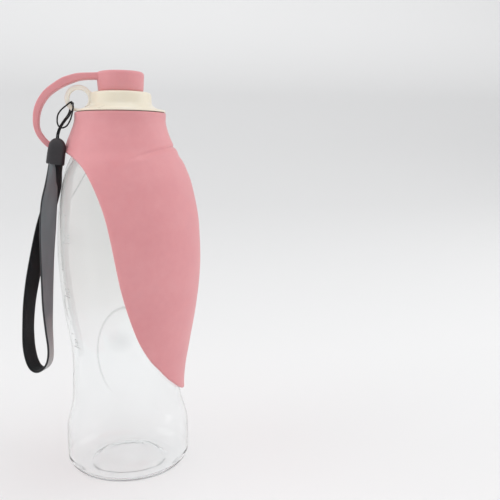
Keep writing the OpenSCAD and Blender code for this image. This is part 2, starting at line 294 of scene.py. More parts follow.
def plastic_foot_painted_shade():
    """The foot's corners, where the clear wall is tinted grey: painted shade for the dark line of the contact shadow
    and refraction.
    """
    m = Mat("plastic_foot_painted_shade")
    n = m.noise(m.obj(), 120, 3, 0.5)
    tint = m.ramp(n, [(0.3, srgb("c6c8ca")), (0.7, srgb("d3d5d6"))])
    # the painted grey shows on the near half only, as seen from the front; it isn't a measured thickness
    tint = m.mix(m.span(m.split(m.obj())[1], -0.018, -0.008), tint, srgb("fcfdfd"))
    m.set(Base_Color=tint, Roughness=m.span(n, 0.3, 0.7, 0.12, 0.22))
    m.p.inputs["Transmission Weight"].default_value = 1.0
    m.p.inputs["IOR"].default_value = 1.40
    return m.m


def silicone_seal():
    m = Mat("silicone_seal")
    o = m.obj()
    n = m.noise(o, 900, 2, 0.5)
    m.set(Base_Color=m.ramp(n, [(0.3, srgb("e9e9e4")), (0.7, srgb("f2f2ee"))]), Roughness=m.span(n, 0.3, 0.7, 0.4, 0.52))
    return m.m


def plastic_clamp():
    m = Mat("plastic_clamp")
    o = m.obj()
    grain = m.voronoi(o, 3000)
    soft = m.noise(o, 160, 3, 0.55)
    base = m.ramp(m.math("ADD", m.math("MULTIPLY", soft, 0.8), m.math("MULTIPLY", grain, 0.25)),
                  [(0.3, srgb("29282a")), (0.55, srgb("2f2d30")), (0.8, srgb("373438"))])
    rough = m.span(soft, 0.3, 0.75, 0.40, 0.54)
    m.set(Base_Color=base, Roughness=rough, Normal=m.bump(grain, 0.00003, 0.35))
    m.p.inputs["Specular IOR Level"].default_value = 0.45
    return m.m


def webbing(name, dark, mid, light, edge, sheen):
    """Flat woven tape. UV holds millimetres: across the band, and along it."""
    m = Mat(name)
    u, v, _ = m.split(m.uv())
    warp = m.math("SINE", m.math("MULTIPLY", u, 2 * math.pi / 0.62))
    weft = m.math("SINE", m.math("MULTIPLY", v, 2 * math.pi / 0.86))
    shift = m.math("SINE", m.math("ADD", m.math("MULTIPLY", v, 2 * math.pi / 0.86),
                                  m.math("MULTIPLY", m.math("FLOOR", m.math("DIVIDE", u, 0.62)), math.pi)))
    weave = m.math("ADD", m.math("MULTIPLY", shift, 0.34), m.math("MULTIPLY", m.math("ABSOLUTE", warp), 0.5))
    fuzz = m.noise(m.map(m.uv(), (1.0, 0.22, 1.0)), 5.0, 3, 0.6)
    blot = m.noise(m.map(m.uv(), (0.25, 0.05, 1.0)), 1.0, 2, 0.5)
    tone = m.math("ADD", m.math("MULTIPLY", weave, 0.22), m.math("ADD", m.math("MULTIPLY", fuzz, 0.35), m.math("MULTIPLY", blot, 0.35)))
    base = m.ramp(tone, [(0.22, dark), (0.45, mid), (0.72, light)])
    # painted highlight: the outer face is made paler where the loop bends, for glare from the floor
    bend_glare = m.math("MULTIPLY", m.span(v, 88, 121), m.span(v, 133, 127))
    if sheen > 0.2:
        base = m.mix(m.math("MULTIPLY", bend_glare, 0.8), base, srgb("c2c4c2"))
    # the selvedges are bound in dark yarn
    rim = m.span(m.math("ABSOLUTE", u), 4.35, 4.7, 0.0, 1.0)
    base = m.mix(rim, base, edge)
    h = m.math("ADD", weave, m.math("MULTIPLY", weft, 0.12))
    m.set(Base_Color=base, Roughness=m.span(fuzz, 0.3, 0.7, 0.62, 0.8), Normal=m.bump(h, 0.00010, 0.7))
    m.p.inputs["Specular IOR Level"].default_value = 0.3
    m.p.inputs["Sheen Weight"].default_value = sheen
    m.p.inputs["Sheen Roughness"].default_value = 0.5
    return m.m


def cord_black():
    m = Mat("cord_black")
    u, v, _ = m.split(m.uv())
    ply = m.math("SINE", m.math("MULTIPLY", m.math("ADD", m.math("MULTIPLY", v, 2.2), u), 2 * math.pi * 2))
    lint = m.noise(m.uv(), 9, 3, 0.6)
    base = m.ramp(m.math("ADD", m.math("MULTIPLY", ply, 0.18), lint), [(0.3, srgb("0d0f11")), (0.6, srgb("15181a")), (0.85, srgb("22262a"))])
    m.set(Base_Color=base, Roughness=m.span(lint, 0.3, 0.7, 0.5, 0.68), Normal=m.bump(ply, 0.00004, 0.5))
    m.p.inputs["Specular IOR Level"].default_value = 0.3
    return m.m


def ink_grey():
    m = Mat("ink_grey")
    n = m.noise(m.obj(), 900, 2, 0.6)
    m.set(Base_Color=m.ramp(n, [(0.3, srgb("c4c7c7")), (0.7, srgb("cfd1d1"))]), Roughness=m.span(n, 0.3, 0.7, 0.35, 0.5))
    return m.m


PINK = silicone_pink()
CREAM = plastic_cream()
# the hang ring's cream, painted paler: painted light on the same plastic as the cap
CREAM_PAINTED_PALE = plastic_cream("plastic_cream_painted_pale", 0.6, 0.2)
CLEAR = plastic_clear()
FOOT_SHADE = plastic_foot_painted_shade()
SEAL = silicone_seal()
CLAMP = plastic_clamp()
WEB_OUT = webbing("webbing_grey", srgb("656d70"), srgb("798285"), srgb("8c9598"), srgb("2b2d31"), 0.35)
WEB_IN = webbing("webbing_black", srgb("0e1114"), srgb("15191c"), srgb("202428"), srgb("0e1012"), 0.12)
CORD = cord_black()
INK = ink_grey()


# ============================================================================
# Geometry helpers (millimetres in, metres out)
# ============================================================================
def make(name, verts, faces, mats, face_mats=None, uvs=None, smooth=True):
    me = bpy.data.meshes.new(name)
    me.from_pydata([tuple(float(x) * MM for x in v) for v in verts], [], [tuple(int(i) for i in f) for f in faces])
    for m in mats:
        me.materials.append(m)
    if face_mats is not None:
        me.polygons.foreach_set("material_index", np.array(face_mats, np.int32))
    if uvs is not None:
        layer = me.uv_layers.new(name="UVMap")
        layer.data.foreach_set("uv", np.array(uvs, np.float32).ravel())
    me.polygons.foreach_set("use_smooth", np.full(len(me.polygons), smooth))
    me.validate(verbose=False)
    me.update()
    ob = bpy.data.objects.new(name, me)
    scene.collection.objects.link(ob)
    return ob


def catmull(p, k):
    """A smooth curve through the points p, with k steps for each stretch."""
    p = np.array(p, float)
    n = len(p) - 1
    out = []
    for s in range(n * k + 1):
        i = min(s // k, n - 1)
        f = s / k - i
        a, b, c, d = p[max(i - 1, 0)], p[i], p[i + 1], p[min(i + 2, n)]
        out.append(0.5 * (2 * b + (c - a) * f + (2 * a - 5 * b + 4 * c - d) * f * f + (3 * b - a - 3 * c + d) * f ** 3))
    return np.array(out)


def resample(p, step, keys=3):
    """The polyline p again with even steps, measured on its first keys numbers."""
    d = np.r_[0, np.cumsum(np.linalg.norm(np.diff(p[:, :keys], axis=0), axis=1))]
    n = max(2, int(round(d[-1] / step)) + 1)
    t = np.linspace(0, d[-1], n)
    return np.c_[tuple(np.interp(t, d, p[:, j]) for j in range(p.shape[1]))], t


def skin(rows, closed_rows=False, closed_cols=True):
    """Quads over a grid of points, rows x columns; returns faces of indices."""
    n, m = rows
    faces = []
    for i in range(n if closed_rows else n - 1):
        a, b = i * m, ((i + 1) % n) * m
        for k in range(m if closed_cols else m - 1):
            k2 = (k + 1) % m
            faces.append((a + k, a + k2, b + k2, b + k))
    return faces


def revolve(path, seg, warp=None):
    """A closed solid from a path [r, z]; points with r = 0 become poles."""
    verts, rings = [], []
    for r, z in path:
        if r < 1e-6:
            rings.append([len(verts)])
            verts.append((0.0, 0.0, z))
        else:
            ids = []
            for k in range(seg):
                a = 2 * math.pi * k / seg
                rr = r + (warp(a, z, r) if warp else 0.0)
                ids.append(len(verts))
                verts.append((rr * math.cos(a), rr * math.sin(a), z))
            rings.append(ids)
    faces = []
    n = len(rings)
    shut = len(rings[0]) > 1
    for i in range(n if shut else n - 1):
        a, b = rings[i], rings[(i + 1) % n]
        if len(a) == 1 and len(b) == 1:
            continue
        for k in range(seg):
            k2 = (k + 1) % seg
            if len(a) == 1:
                faces.append((a[0], b[k2], b[k]))
            elif len(b) == 1:
                faces.append((a[k], a[k2], b[0]))
            else:
                faces.append((a[k], a[k2], b[k2], b[k]))
    return verts, faces


def round_path(path, radii, steps=4):
    """The path with its corners rounded: radii is one number, or one for each point."""
    out = []
    n = len(path)
    for i, p in enumerate(path):
        r = radii if isinstance(radii, (int, float)) else radii[i]
        if i in (0, n - 1) or r <= 0:
            out.append(tuple(p))
            continue
        p = np.array(p, float)
        a, b = np.array(path[i - 1], float) - p, np.array(path[i + 1], float) - p
        la, lb = np.linalg.norm(a), np.linalg.norm(b)
        d = min(r, la * 0.45, lb * 0.45)
        a, b = p + a / la * d, p + b / lb * d
        for s in range(steps + 1):
            t = s / steps
            out.append(tuple((1 - t) ** 2 * a + 2 * t * (1 - t) * p + t * t * b))
    return out


def smooth01(x):
    x = np.clip(x, 0, 1)
    return x * x * (3 - 2 * x)


def fix_normals(ob):
    import bmesh
    bm = bmesh.new()
    bm.from_mesh(ob.data)
    bmesh.ops.recalc_face_normals(bm, faces=bm.faces)
    bm.to_mesh(ob.data)
    bm.free()
    ob.data.update()


def frames(path, side):
    """Unit width and thickness vectors along a path, from a wanted width vector."""
    n = len(path)
    d = np.array([path[min(i + 1, n - 1)] - path[max(i - 1, 0)] for i in range(n)])
    d /= np.linalg.norm(d, axis=1)[:, None]
    u = side - d * (side * d).sum(1)[:, None]
    u /= np.linalg.norm(u, axis=1)[:, None]
    return u, np.cross(d, u), d


# ============================================================================
# Wrist strap: cord, clamp, webbing
# ============================================================================
CORD_D, WEB_W, WEB_T = 0.8, 10.0, 1.2
cord_route = [
    [-35.6, -9.4, 191.4], [-35.6, -9.4, 195], [-34.9, -9.2, 198.2],
    [-33.4, -8.4, 201.4], [-31.6, -5.2, 204.6], [-30.1, -0.6, 207.2],
    [-29.2, 2.3, 209.6], [-28.7, 3.1, 212.2], [-27.9, 2.9, 214.3],
    [-27.5, 0, 214.9], [-27.9, -2.9, 214.6], [-30, -3.7, 212.9],
    [-32.8, -5, 210.4], [-34.7, -6.8, 207.4], [-35.1, -8.8, 203.9],
    [-34.4, -10.2, 201.2], [-32.5, -10.4, 200], [-30, -9.2, 201.2],
    [-28.2, -7.2, 204.4], [-27.2, -5.4, 208], [-26.6, -3.9, 211.8],
    [-26.7, -3, 213.8], [-26.8, 0, 214.3], [-27, 2.9, 213.8],
    [-27.7, 3.1, 211.8], [-28.4, 2.3, 209.2], [-29.4, -0.6, 206.6],
    [-31.1, -5.1, 204.0], [-32.8, -8.3, 201.0], [-34.1, -9.2, 197.9],
    [-34.7, -9.4, 195], [-34.7, -9.4, 191.4]]
web_route = [
    [-37.2, -9.5, 184, 61], [-37.3, -9.6, 180.6, 62], [-37.9, -10.3, 176.4, 62],
    [-39.1, -11.8, 169, 56], [-40.8, -13, 158, 36], [-41.9, -13.4, 145, 35],
    [-42.8, -13.6, 130, 47], [-43.3, -13.8, 115, 56], [-43.6, -13.8, 101, 63],
    [-43.4, -13.6, 88, 73], [-42.9, -13.2, 77, 80], [-43.3, -12.8, 70, 78],
    [-44.8, -12, 65.6, 73], [-47.2, -10.8, 62.8, 67], [-49.8, -9.5, 62, 64],
    [-52.2, -8.2, 63.2, 61], [-54, -7.2, 66.4, 59], [-55.2, -6.6, 71.4, 58],
    [-55.8, -6.4, 78, 58], [-55.6, -6.4, 88, 60], [-54.4, -6.6, 101, 56],
    [-51.9, -7.2, 115, 49], [-48.4, -8, 130, 44], [-44.6, -8.5, 145, 42],
    [-40.6, -8.4, 158, 44], [-37.6, -8.4, 169, 45], [-36.1, -8.7, 176.4, 52],
    [-35.6, -8.9, 180.6, 52], [-35.7, -9, 184, 50]]
CLAMP_C, CLAMP_TILT = (-35.9, -9.4, 187.2), 8.5


def make_cord():
    path, s = resample(catmull(cord_route, 12), 0.34)
    # a frame carried along without twist
    n = len(path)
    d = np.array([path[min(i + 1, n - 1)] - path[max(i - 1, 0)] for i in range(n)])
    d /= np.linalg.norm(d, axis=1)[:, None]
    u = np.cross(d[0], [0, 1, 0.2])
    u /= np.linalg.norm(u)
    verts, uvs_ring = [], []
    m = 14
    for i in range(n):
        u = u - d[i] * (u @ d[i])
        u /= np.linalg.norm(u)
        v = np.cross(d[i], u)
        for k in range(m):
            a = 2 * math.pi * k / m
            # two plies twisted round each other
            r = CORD_D / 2 * (1.08 + 0.05 * math.cos(2 * (a - s[i] / 2.6 * math.pi)))
            verts.append(path[i] + r * (math.cos(a) * u + math.sin(a) * v))
            uvs_ring.append((k / m, s[i] / 10))
    faces = skin((n, m))
    faces = [tuple(range(m - 1, -1, -1))] + faces + [tuple((n - 1) * m + k for k in range(m))]
    uvs = []
    for f in faces:
        ks = [i % m for i in f]
        wrap = len(f) == 4 and 0 in ks and m - 1 in ks
        for i in f:
            uu, vv = uvs_ring[i]
            uvs.append((1.0 if wrap and i % m == 0 else uu, vv))
    ob = make("hitch_cord_twisted", verts, faces, [CORD], uvs=uvs)
    fix_normals(ob)
    return ob, path


def make_webbing():
    path4, s = resample(catmull(web_route, 12), 0.9)
    path, turn = path4[:, :3], np.radians(path4[:, 3])
    side = np.c_[np.cos(turn), np.sin(turn), np.zeros(len(turn))]
    u, v, d = frames(path, side)
    half, t = WEB_W / 2, WEB_T / 2
    # cross-section: [across, through], the outer face first
    xs = np.linspace(-half + 0.35, half - 0.35, 11)
    crown = 0.05 * np.cos(xs / half * math.pi / 2)
    sec = [(x, t - 0.05 + c) for x, c in zip(xs, crown)]
    sec += [(half - 0.1, t * 0.72), (half, 0.0), (half - 0.1, -t * 0.72)]
    sec += [(x, -(t - 0.05 + c)) for x, c in zip(xs[::-1], crown[::-1])]
    sec += [(-half + 0.1, -t * 0.72), (-half, 0.0), (-half + 0.1, t * 0.72)]
    sec = np.array(sec)
    m, n = len(sec), len(path)
    verts = []
    for i in range(n):
        # woven tape is never quite flat or straight
        cup = 0.12 * math.sin(s[i] / 31.0) + 0.08 * math.sin(s[i] / 11.0 + 1.0)
        # near the clamp both ends are pinched into a gutter shape
        bend = 0.95 * float(smooth01((path[i, 2] - 163.0) / 15.0)) + 0.001
        way = 1.0 if i < n / 2 else -1.0
        R = half / bend
        for a, b in sec:
            b = b + cup * ((a / half) ** 2 - 0.4)
            rho = R + way * b
            across = rho * math.sin(a / R)
            through = way * (rho * math.cos(a / R) - R + R * (1 - math.cos(bend)) / 2)
            verts.append(path[i] + across * u[i] + through * v[i])
    faces, fm, uvs = [], [], []
    for i in range(n - 1):
        for k in range(m):
            k2 = (k + 1) % m
            faces.append((i * m + k, i * m + k2, (i + 1) * m + k2, (i + 1) * m + k))
            mid = (sec[k][1] + sec[k2][1]) / 2
            fm.append(0 if mid > 0.12 else 1)
            for kk, ii in ((k, i), (k2, i), (k2, i + 1), (k, i + 1)):
                uvs.append((sec[kk][0], s[ii]))
    for cap, i in ((tuple(range(m - 1, -1, -1)), 0), (tuple((n - 1) * m + k for k in range(m)), n - 1)):
        faces.append(cap)
        fm.append(1)
        uvs += [(sec[j % m][0], s[i]) for j in cap]
    ob = make("webbing_loop", verts, faces, [WEB_OUT, WEB_IN], fm, uvs)
    fix_normals(ob)
    return ob, path


def make_clamp():
    """Moulded end piece: a rounded block that narrows to a dome where the cord enters."""
    prof = catmull([[4.85, -7.4], [4.9, -6.6], [4.88, -3.6], [4.8, 0], [4.65, 2.4], [4.3, 4.2], [3.5, 5.6],
                    [2.3, 6.7], [0.9, 7.35]], 5)
    deep = catmull([[4.1, -7.4], [4.1, -6.6], [4.1, -3.6], [4.0, 0], [3.75, 2.4], [3.3, 4.2], [2.7, 5.6],
                    [1.8, 6.7], [0.8, 7.35]], 5)
    seg = 56
    rings = []
    tilt = math.radians(CLAMP_TILT)

    def ring(hw, hd, z, power):
        out = []
        for k in range(seg):
            a = 2 * math.pi * k / seg
            c, sn = math.cos(a), math.sin(a)
            x = math.copysign(abs(c) ** (2 / power), c) * hw
            y = math.copysign(abs(sn) ** (2 / power), sn) * hd
            X = x * math.cos(tilt) + z * math.sin(tilt)
            Z = -x * math.sin(tilt) + z * math.cos(tilt)
            out.append((CLAMP_C[0] + X, CLAMP_C[1] + y, CLAMP_C[2] + Z))
        return out

    # the open lower end: a wall round the webbing, with a step inside
    rings.append(ring(3.6, 2.8, -5.8, 3.6))
    rings.append(ring(4.35, 3.5, -5.8, 3.6))
    rings.append(ring(4.4, 3.55, -7.1, 3.6))
    rings.append(ring(4.45, 3.65, -7.35, 3.6))
    rings.append(ring(4.6, 3.85, -7.4, 3.6))
    for (w, z), (dp, _) in zip(prof, deep):
        power = 4.0 - 1.6 * smooth01((z + 1) / 8.4)
        if z < -7.1:
            w, dp = w - 0.12, dp - 0.12
        rings.append(ring(w, dp, z, power))
    n = len(rings)
    verts = [v for r in rings for v in r]
    faces = skin((n, seg))
    faces = [tuple(range(seg - 1, -1, -1))] + faces + [tuple((n - 1) * seg + k for k in range(seg))]
    ob = make("clamp_moulding", verts, faces, [CLAMP])
    fix_normals(ob)
    return ob


cord_ob, cord_path = make_cord()
web_ob, web_path = make_webbing()
clamp_ob = make_clamp()
for ob, node, slot in ((cord_ob, "hitch_cord", "black_cord"), (web_ob, "strap_webbing", "webbing"),
                       (clamp_ob, "strap_clamp", "black_clamp")):
    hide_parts(node)
    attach(ob, "strap")

# ============================================================================
# Clear bottle
# ============================================================================
BAND_R, NECK_R, MOUTH_R, MOUTH_Z, PUSH, WALL = 36.2, 18.0, 15.8, 208.0, 4.5, 1.0
bottle_side = [
    [28, 0], [31.2, 0.6], [33.8, 2.3], [35.5, 4.9], [BAND_R, 8.5],
    [BAND_R, 21.5], [35.8, 26.5], [34.7, 31], [33, 36.5], [31.8, 42],
    [31.4, 48], [31.3, 54], [31.3, 60], [31.6, 66], [32.4, 74],
    [33.3, 80], [34.3, 86], [35.3, 92.5], [36.2, 99], [36.9, 106],
    [37.5, 113], [38, 121], [38.2, 129], [38, 137], [37.5, 146],
    [36.7, 154], [35.5, 162], [34.3, 169], [32.8, 175], [31, 180],
    [28.6, 184.5], [25.6, 188.2], [22.4, 190.8], [19.6, 192.4]]
_dense = catmull(bottle_side, 8)
_bz, _br = _dense[:, 1], _dense[:, 0]


def bottle_r(z):
    return float(np.interp(z, _bz, _br))


OVAL_Z, OVAL_A, OVAL_B = 76.0, 16.7, 27.0
# a moulded line down each side, where the grip's panel starts: [angle from -X in degrees, z]
panel_line = [[56, 178], [51, 174], [40, 163.5], [34, 150], [31, 130], [28, 112], [23, 101], [26, 94], [36, 88], [38, 81], [35, 72], [30, 64]]
_panel = catmull(panel_line, 3)


def panel_far(ang, z):
    """How far, in millimetres, a place on the skin is from the panel's line."""
    k = math.radians(36.0)
    best = 99.0
    for (a0, z0), (a1, z1) in zip(_panel[:-1], _panel[1:]):
        dx, dz = (a1 - a0) * k, z1 - z0
        px, pz = (ang - a0) * k, z - z0
        t = min(1.0, max(0.0, (px * dx + pz * dz) / (dx * dx + dz * dz)))
        best = min(best, math.hypot(px - t * dx, pz - t * dz))
    return best


def bottle_warp(a, z, r):
    """Grip ovals and panel lines on the two sides, and a gentle blown-in unevenness."""
    if z < 1.5 or z > 192:
        return 0.0
    w = 0.0
    # the inside of a blown wall follows the mould's fine lines only in part
    part = 0.25 if r < bottle_r(z) - 0.3 else 1.0
    for mid in (-math.pi / 2, math.pi / 2):
        da = (a - mid + math.pi) % (2 * math.pi) - math.pi
        if abs(da) < 0.7:
            q = math.hypot(da * 33.0 / OVAL_A, (z - OVAL_Z) / OVAL_B)
            rim = part * 0.26 * math.exp(-((q - 1.0) / 0.040) ** 2)
            dish = -0.55 * float(smooth01((1.03 - q) / 0.25)) - part * 0.40 * math.exp(-((da * 33.0) ** 2 + (z - 81.0) ** 2) / 30.0)
            w += rim + dish
    back = (a - math.pi + math.pi) % (2 * math.pi) - math.pi
    if abs(back) < 1.15 and 60 < z < 182:
        d = panel_far(math.degrees(abs(back)), z)
        w -= part * 0.13 * math.exp(-(d / 2.0) ** 2)
    # the waist is a little fuller at the back than under the leaf's tip
    c = max(0.0, -math.cos(a))
    w += 0.8 * c * c * math.exp(-((z - 47.0) / 15.0) ** 2)
    # the wall is drawn thinner there, so that its edge doesn't show as a dark line
    if part < 1.0:
        w += 0.27 * c * c * float(smooth01((z - 52) / 34) * smooth01((186 - z) / 12))
    fade = float(smooth01((z - 8) / 20) * smooth01((188 - z) / 20))
    w += fade * 0.10 * math.sin(3 * a + z / 33.0) * math.sin(z / 21.0)
    return w


def make_bottle():
    outer = [(0, PUSH), (4.0, PUSH - 0.05), (9, PUSH - 0.2), (14, PUSH - 0.5), (16.8, PUSH - 1.2), (18.8, PUSH - 2),
             (20.2, 1.5), (21.6, 0.5), (22.6, 0.05), (25, 0.03)]
    body = [(r, max(z, 0.03)) for z, r in zip(_bz, _br)]
    outer += body
    outer += round_path([(18.5, 193.0), (NECK_R, 193.4), (NECK_R, 194.2), (21.2, 194.8), (21.2, 196.2), (NECK_R, 196.8),
                         (NECK_R, MOUTH_Z - 0.4), (NECK_R - 0.4, MOUTH_Z)], 0.4, 3)
    inner = [(MOUTH_R + 0.3, MOUTH_Z), (MOUTH_R, MOUTH_Z - 0.4), (MOUTH_R, 200.0), (MOUTH_R, 194.4), (MOUTH_R + 0.3, 193.2)]
    inner += [(r - 0.58, z) for r, z in body[::-1] if 8.5 <= z <= 192.2]
    inner += [tuple(p) for p in catmull([(BAND_R - 0.58, 8.2), (34.95, 5.2), (33.35, 2.85), (30.9, 1.25), (27.9, 0.75),
                                         (22.8, 0.75), (20.4, 2.2), (18.7, 3.2), (14.1, PUSH + 0.2), (7, PUSH + 0.5), (0, PUSH + 0.6)], 3)]
    inner[-1] = (0, inner[-1][1])
    verts, faces = revolve(outer + inner, 192, bottle_warp)
    fm = []
    for f in faces:
        c = np.mean([verts[i] for i in f], 0)
        r = math.hypot(c[0], c[1])
        # faces at the foot's near corners take the grey painted shade
        thick = c[2] < 0.62 and (29.9 < r < 31.8 or 21.6 < r < 22.6)
        fm.append(1 if thick and c[1] < -6.0 else 0)
    ob = make("bottle_shell", verts, faces, [CLEAR, FOOT_SHADE], fm)
    fix_normals(ob)
    return ob


bottle_ob = make_bottle()
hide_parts("bottle")
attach(bottle_ob, "bottle")


def wrap(pts, a0, z0, lift):
    """Flat [across, up] points laid on the bottle's skin round the place (angle a0, height z0)."""
    out = []
    for x, y in pts:
        z = z0 + y
        r = bottle_r(z) + bottle_warp(a0, z, 0) + lift
        a = a0 + x / bottle_r(z0)
        out.append((r * math.cos(a), r * math.sin(a), z))
    return out


def make_scale():
    """Printed fill marks: three lines with plain numbers, 8, 12 and 16 ounces."""
    verts, faces = [], []

    def strip(x0, x1, y0, y1, a0, z0, cuts=10):
        base = len(verts)
        for lift in (0.0, 0.06):
            for y in (y0, y1):
                verts.extend(wrap([(x0 + (x1 - x0) * i / cuts, y) for i in range(cuts + 1)], a0, z0, lift))
        n = cuts + 1
        for i in range(cuts):
            a, b, c, d = base + i, base + n + i, base + 2 * n + i, base + 3 * n + i
            faces.extend([(c, c + 1, d + 1, d), (a, b, b + 1, a + 1), (a, a + 1, c + 1, c), (b, d, d + 1, b + 1)])
        faces.extend([(base, base + 2 * n, base + 3 * n, base + n),
                      (base + n - 1, base + 2 * n - 1, base + 4 * n - 1, base + 3 * n - 1)])

    # strokes of each digit on a 2 x 3.4 mm cell: x0, y0, x1, y1
    glyph = {
        "1": [(1, 0, 1, 3.4), (0.3, 2.7, 1, 3.4)],
        "2": [(0, 3.4, 2, 3.4), (2, 3.4, 2, 1.7), (2, 1.7, 0, 1.7), (0, 1.7, 0, 0), (0, 0, 2, 0)],
        "6": [(2, 3.4, 0, 3.4), (0, 3.4, 0, 0), (0, 0, 2, 0), (2, 0, 2, 1.7), (2, 1.7, 0, 1.7)],
        "8": [(0, 0, 0, 3.4), (0, 3.4, 2, 3.4), (2, 3.4, 2, 0), (2, 0, 0, 0), (0, 1.7, 2, 1.7)]}

    def stroke(p, q, a0, z0, w=0.34):
        p, q = np.array(p, float), np.array(q, float)
        d = q - p
        d /= np.linalg.norm(d)
        nrm = np.array([-d[1], d[0]]) * w / 2
        p, q = p - d * w / 2, q + d * w / 2
        base = len(verts)
        for lift in (0.0, 0.06):
            verts.extend(wrap([tuple(p + nrm), tuple(p - nrm), tuple(q - nrm), tuple(q + nrm)], a0, z0, lift))
        b = base
        faces.extend([(b + 4, b + 5, b + 6, b + 7), (b + 3, b + 2, b + 1, b), (b, b + 1, b + 5, b + 4),
                      (b + 1, b + 2, b + 6, b + 5), (b + 2, b + 3, b + 7, b + 6), (b + 3, b, b + 4, b + 7)])

    for z, x_mid, word in ((76.6, -27.8, "8"), (106.4, -32.0, "12"), (137.0, -31.4, "16")):
        r = bottle_r(z)
        a0 = -math.acos(x_mid / r)
        half = 3.4
        strip(-half, half, -0.2, 0.2, a0, z)
        for k in range(1, 4):  # short marks between the numbered ones
            zz = z + k * 7.6
            if word != "16" or k < 3:
                strip(-half, -half + 2.2, -0.14, 0.14, a0, zz, 4)
        width = len(word) * 2 + (len(word) - 1) * 1.0
        x = -width / 2 + 0.4
        for ch in word:
            for x0, y0, x1, y1 in glyph[ch]:
                stroke((x + x0, 1.2 + y0), (x + x1, 1.2 + y1), a0, z)
            x += 3.0
    ob = make("fill_marks", verts, faces, [INK], smooth=False)
    fix_normals(ob)
    return ob


scale_ob = make_scale()
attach(scale_ob, "bottle")

# ============================================================================
# Screw cap and hang ring
# ============================================================================
SKIRT_R, SPOUT_R = 19.6, 7.2


def make_cap():
    upper = [(22.3, 209.4), (24.8, 209.4), (25.15, 209.6), (25.2, 209.95), (25.0, 210.35), (24.3, 210.7),
             (23.2, 210.95), (21.4, 211.35), (19.6, 212.1), (18.2, 213.1), (17.5, 214.2), (17.33, 215.4),
             (17.3, 217.0), (17.25, 218.8), (17.05, 219.65), (16.5, 220.2), (15.7, 220.5), (14.9, 220.6)]
    upper = [tuple(p) for p in catmull(upper, 4)]
    path = round_path([(SPOUT_R, 210.1), (SKIRT_R, 210.1), (SKIRT_R, 197.4), (22.3, 197.4), (22.3, 200.6), (21.4, 201.1),
                       (21.4, 204.1), (22.3, 204.7), (22.3, 209.3)], 0.35, 3)[1:]
    path = path + upper + round_path([(13.9, 220.6), (11.5, 220.6), (10.6, 218.4), (9.9, 218.4), (9.9, 220.4), (9.2, 225.7),
                                      (8.9, 226.0), (SPOUT_R, 226.0)], 0.5, 4)[1:-1]
    path = path + [(SPOUT_R + 0.3, 226.0), (SPOUT_R, 225.7), (SPOUT_R, 218), (SPOUT_R, 210.3), (SPOUT_R + 0.2, 210.1)]
    verts, faces = revolve(path, 160)
    ob = make("cap_moulding", verts, faces, [CREAM])
    fix_normals(ob)
    return ob


def arc(cx, cy, r, a0, a1, n):
    return [(cx + r * math.cos(math.radians(a0 + (a1 - a0) * i / n)), cy + r * math.sin(math.radians(a0 + (a1 - a0) * i / n)))
            for i in range(n + 1)]


def plate(name, outline, holes, thick, bevel, mats, res=4):
    """A flat moulded plate in the XZ plane with rounded edges, from an outline and its holes."""
    cu = bpy.data.curves.new(name, "CURVE")
    cu.dimensions, cu.fill_mode = "2D", "BOTH"
    cu.extrude, cu.bevel_depth, cu.bevel_resolution = (thick / 2 - bevel) * MM, bevel * MM, res
    cu.offset = -bevel * MM
    for loop in [outline] + holes:
        sp = cu.splines.new("POLY")
        sp.points.add(len(loop) - 1)
        for q, (x, y) in zip(sp.points, loop):
            q.co = (x * MM, y * MM, 0, 1)
        sp.use_cyclic_u = True
    tmp = bpy.data.objects.new(name + "_c", cu)
    scene.collection.objects.link(tmp)
    bpy.context.view_layer.update()
    me = bpy.data.meshes.new_from_object(tmp.evaluated_get(bpy.context.evaluated_depsgraph_get()))
    bpy.data.objects.remove(tmp)
    me.transform(Matrix(((1, 0, 0, 0), (0, 0, -1, 0), (0, 1, 0, 0), (0, 0, 0, 1))))
    me.name = name
    me.materials.clear()
    for m in mats:
        me.materials.append(m)
    import bmesh
    bm = bmesh.new()
    bm.from_mesh(me)
    bmesh.ops.remove_doubles(bm, verts=bm.verts, dist=1e-6)
    bmesh.ops.recalc_face_normals(bm, faces=bm.faces)
    bm.to_mesh(me)
    bm.free()
    me.polygons.foreach_set("use_smooth", np.full(len(me.polygons), True))
    me.set_sharp_from_angle(angle=math.radians(40))
    ob = bpy.data.objects.new(name, me)
    scene.collection.objects.link(ob)
    return ob


HANG_C, HANG_R = (-23.5, 216.5), 5.3


def make_hang_ring():
    cx, cz = HANG_C
    ro = HANG_R + 2.5
    outline = arc(cx, cz, ro, 52, 236, 60)
    # under the ring it runs into the flange, and on the right into the cap's wall
    outline += [(-27.0, 209.85), (-25.3, 209.85), (-24.4, 210.1), (-20.5, 211.0), (-17.5, 212.6), (-15.6, 214.4), (-15.6, 219.4)]
    top = catmull([(-15.0, 220.35), (-16.2, 220.6), (-17.3, 221.3), (cx + ro * math.cos(math.radians(52)), cz + ro * math.sin(math.radians(52)))], 5)
    outline += [tuple(p) for p in top[:-1]]
    hole = arc(cx, cz, HANG_R, 360, 0, 64)[:-1]
    ob = plate("hang_ring_moulding", outline, [hole], 4.0, 0.55, [CREAM_PAINTED_PALE])
    return ob


cap_ob = make_cap()
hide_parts("screw_cap")
ring_ob = make_hang_ring()
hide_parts("hang_ring")
for ob in (cap_ob, ring_ob):
    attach(ob, "cap")

